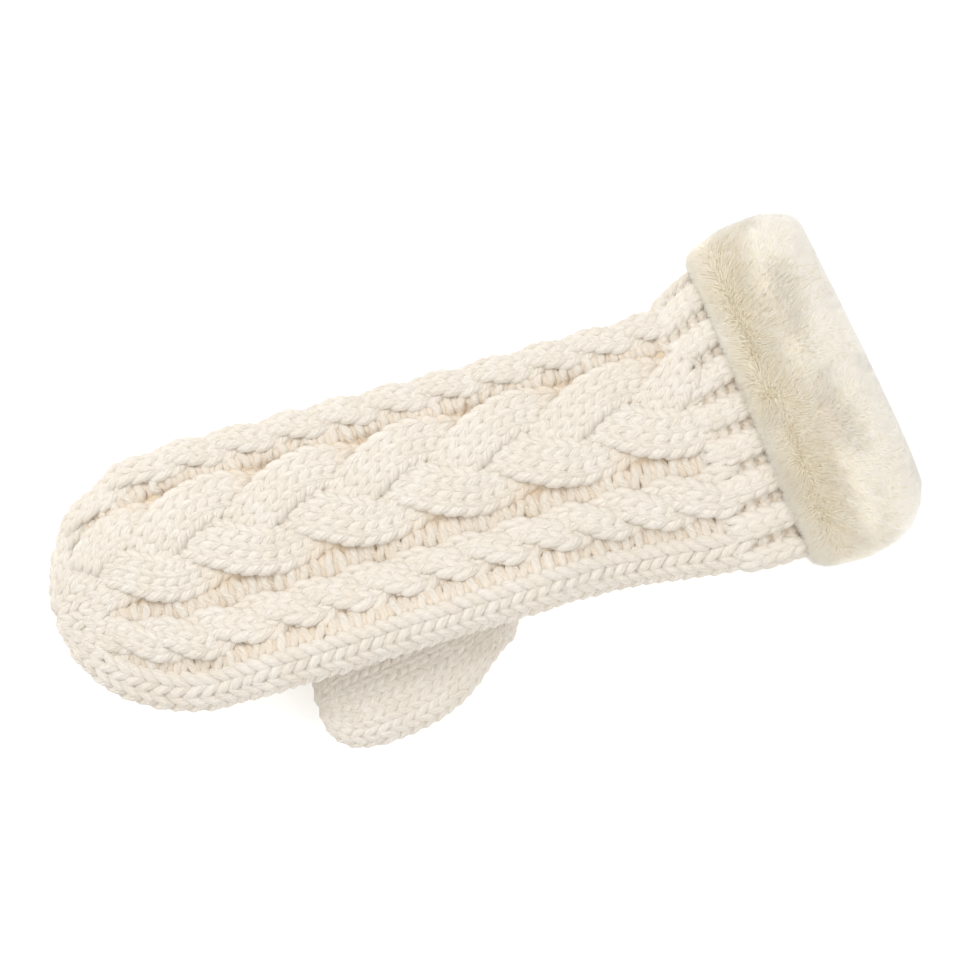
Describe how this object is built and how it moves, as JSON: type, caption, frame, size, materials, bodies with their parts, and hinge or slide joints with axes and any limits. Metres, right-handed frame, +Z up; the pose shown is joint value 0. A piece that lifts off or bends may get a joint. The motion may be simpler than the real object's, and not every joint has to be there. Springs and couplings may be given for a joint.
{
  "type": "knitted mitten",
  "caption": "Chunky cable-knit mitten with a plain knit thumb, a fleece lining and a deep fur cuff, lying palm down.",
  "frame": {"origin": "centre of the mitten's outline, on the surface that it lies on", "axes": "+X from the fingertips towards the cuff, +Y away from the thumb, +Z up through the back of the hand"},
  "size_m": [0.3066, 0.1436, 0.0422],
  "materials": {
    "ivory_yarn": "bulky soft-spun ivory yarn, matt, knitted",
    "fleece_lining": "brushed cream fleece",
    "cuff_fur": "dense short beige-cream fur pile with a soft sheen",
    "fur_backing": "plain skin side of the fur strip",
    "sewing_thread": "cream sewing thread"
  },
  "bodies": {
    "hand": {"hand_back_knit": "ivory_yarn", "hand_palm_knit": "ivory_yarn", "hand_lining_back": "fleece_lining", "hand_lining_palm": "fleece_lining", "thumb_gusset_knit": "ivory_yarn"},
    "fingers": {"finger_back_knit": "ivory_yarn", "finger_palm_knit": "ivory_yarn", "finger_lining_back": "fleece_lining", "finger_lining_palm": "fleece_lining", "fingertip_gather": "ivory_yarn"},
    "thumb": {"thumb_back_knit": "ivory_yarn", "thumb_palm_knit": "ivory_yarn", "thumb_lining_back": "fleece_lining", "thumb_lining_palm": "fleece_lining", "thumb_tip_gather": "ivory_yarn"},
    "cuff": {"wrist_back_knit": "ivory_yarn", "wrist_palm_knit": "ivory_yarn", "wrist_lining_back": "fleece_lining", "wrist_lining_palm": "fleece_lining", "fur_back": "cuff_fur", "fur_palm": "cuff_fur", "fur_backing_back": "fur_backing", "fur_backing_palm": "fur_backing", "cuff_seam_thread": "sewing_thread", "mouth_seam_thread": "sewing_thread"}
  },
  "joints": [
    {"name": "finger_curl", "type": "hinge", "parent": "hand", "child": "fingers", "pos_m": [-0.08225, 0.00268, 0.01009], "axis": [0, -1, 0], "range_deg": [-10, 60]},
    {"name": "thumb_swing", "type": "hinge", "parent": "hand", "child": "thumb", "pos_m": [-0.00575, -0.03982, 0.00789], "axis": [0, 0, 1], "range_deg": [0, 45]},
    {"name": "wrist_flex", "type": "hinge", "parent": "hand", "child": "cuff", "pos_m": [0.07575, 0.00273, 0.01614], "axis": [-0.0205, 0.9998, 0], "range_deg": [-20, 20]}
  ]
}
